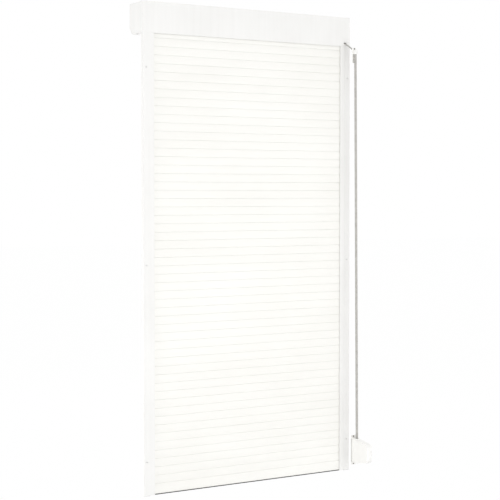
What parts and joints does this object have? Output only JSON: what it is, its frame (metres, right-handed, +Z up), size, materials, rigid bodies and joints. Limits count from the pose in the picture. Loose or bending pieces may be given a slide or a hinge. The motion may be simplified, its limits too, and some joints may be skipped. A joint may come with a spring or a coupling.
{
  "type": "exterior roller shutter",
  "caption": "Front-mounted exterior roller shutter with a square box, side rails, a slatted curtain and a strap drive with a surface winder.",
  "frame": {"origin": "centre of the rectangle of rail screw holes, on the face that lies against the window frame", "axes": "+X to the right seen from the room, +Y from the room to the street, +Z up"},
  "size_m": [1.09, 0.3536, 2.1686],
  "materials": {
    "white_paint": "smooth satin white powder coat",
    "curtain_plastic": "warm white, fine matte",
    "black_rubber": "matte",
    "grey_rubber": "matte",
    "white_plastic": "smooth satin",
    "grey_plastic": "fine matte",
    "galvanised_steel": "galvanised",
    "bright_steel": "ground and polished",
    "screw_steel": "zinc plated",
    "grey_strap": "woven"
  },
  "bodies": {
    "root": {"box_back_panel": "white_paint", "box_front_panel": "white_paint", "inspection_cover": "white_paint", "panel_screws": "screw_steel", "cover_screws": "screw_steel", "end_cap_left": "white_paint", "end_cap_right": "white_paint", "inlet_funnel_left": "grey_plastic", "inlet_funnel_right": "grey_plastic", "rail_left": "white_paint", "rail_right": "white_paint", "rail_seals_left": "grey_rubber", "rail_seals_right": "grey_rubber", "rail_foot_plugs": "grey_plastic", "bearing_outer_rings": "bright_steel", "strap": "grey_strap", "outlet_nozzle": "white_plastic", "guide_plate": "white_plastic", "guide_hood": "white_plastic", "guide_pin": "bright_steel", "guide_pad": "grey_rubber", "winder_bracket": "white_plastic"},
    "curtain": {"slat_group_01": "curtain_plastic", "slat_group_02": "curtain_plastic", "slat_group_03": "curtain_plastic", "slat_group_04": "curtain_plastic", "slat_group_05": "curtain_plastic", "slat_group_06": "curtain_plastic", "slat_group_07": "curtain_plastic", "slat_group_08": "curtain_plastic", "slat_group_09": "curtain_plastic", "slat_group_10": "curtain_plastic", "slat_group_11": "curtain_plastic", "end_slat": "curtain_plastic", "end_slat_seal": "black_rubber", "end_slat_stops": "black_rubber", "stop_screws": "screw_steel", "hanger_springs": "galvanised_steel"},
    "shaft": {"shaft_tube": "galvanised_steel", "idler_capsule": "grey_plastic", "idler_pin": "bright_steel", "strap_pulley": "grey_plastic", "pulley_pin": "bright_steel", "pulley_strap_coil": "grey_strap", "bearing_inner_rings": "bright_steel", "bearing_balls": "bright_steel"},
    "guide_roller": {"guide_roller": "white_plastic"},
    "winder": {"winder_case_left": "white_plastic", "winder_case_right": "white_plastic", "winder_screws": "screw_steel", "winder_axle": "galvanised_steel", "winder_spring": "galvanised_steel", "brake_pin": "bright_steel", "winder_strap_tail": "grey_strap"},
    "spool": {"winder_spool": "grey_plastic", "winder_coil": "grey_strap"},
    "brake": {"winder_brake": "grey_plastic"}
  },
  "joints": [
    {"name": "curtain_lift", "type": "slide", "parent": "root", "child": "curtain", "axis": [0, 0, 1], "range_m": [0, 1.9965], "deforming": ["slat_group_01", "slat_group_02", "slat_group_03", "slat_group_04", "slat_group_05", "slat_group_06", "slat_group_07", "slat_group_08", "slat_group_09", "slat_group_10", "slat_group_11", "hanger_springs"]},
    {"name": "shaft_turn", "type": "hinge", "parent": "root", "child": "shaft", "pos_m": [0, 0.0685, 1.0835], "axis": [1, 0, 0], "continuous": true},
    {"name": "guide_roller_turn", "type": "hinge", "parent": "root", "child": "guide_roller", "pos_m": [0.517, -0.0802, 0.979], "axis": [1, 0, 0], "continuous": true},
    {"name": "winder_swivel", "type": "hinge", "parent": "root", "child": "winder", "pos_m": [0.517, -0.106, -0.902], "axis": [0, 0, 1], "range_deg": [-90, 90]},
    {"name": "spool_turn", "type": "hinge", "parent": "winder", "child": "spool", "pos_m": [0.517, -0.15, -0.902], "axis": [1, 0, 0], "continuous": true},
    {"name": "brake_lever", "type": "hinge", "parent": "winder", "child": "brake", "pos_m": [0.517, -0.118, -0.856], "axis": [1, 0, 0], "range_deg": [0, 10], "stiffness_Nm_per_rad": 0.002, "springref_deg": -28.65}
  ],
  "couplings": [
    {"joint": "shaft_turn", "follows": "curtain_lift", "rad_per_m": -21.739},
    {"joint": "guide_roller_turn", "follows": "curtain_lift", "rad_per_m": 146.09},
    {"joint": "spool_turn", "follows": "curtain_lift", "rad_per_m": -15.81}
  ]
}
